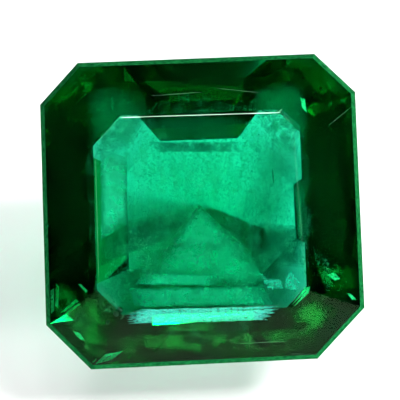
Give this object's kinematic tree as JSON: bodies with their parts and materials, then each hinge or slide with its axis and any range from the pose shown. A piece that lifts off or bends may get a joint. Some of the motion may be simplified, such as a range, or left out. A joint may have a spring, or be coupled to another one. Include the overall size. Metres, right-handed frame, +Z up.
{
  "type": "step-cut emerald gemstone",
  "caption": "Loose square step-cut emerald with clipped corners: clear deep green crystal with natural inclusions, lying on a pavilion facet.",
  "frame": {"origin": "the middle of the stone's box, on the surface that the stone lies on", "axes": "+Z up from that surface, +X along the stone's width, and the table facet faces up and towards -Y"},
  "size_m": [0.012, 0.0102, 0.0082],
  "materials": {
    "emerald": "polished clear crystal, deep bluish green, with natural inclusions"
  },
  "bodies": {
    "root": {"emerald": "emerald"}
  },
  "joints": []
}
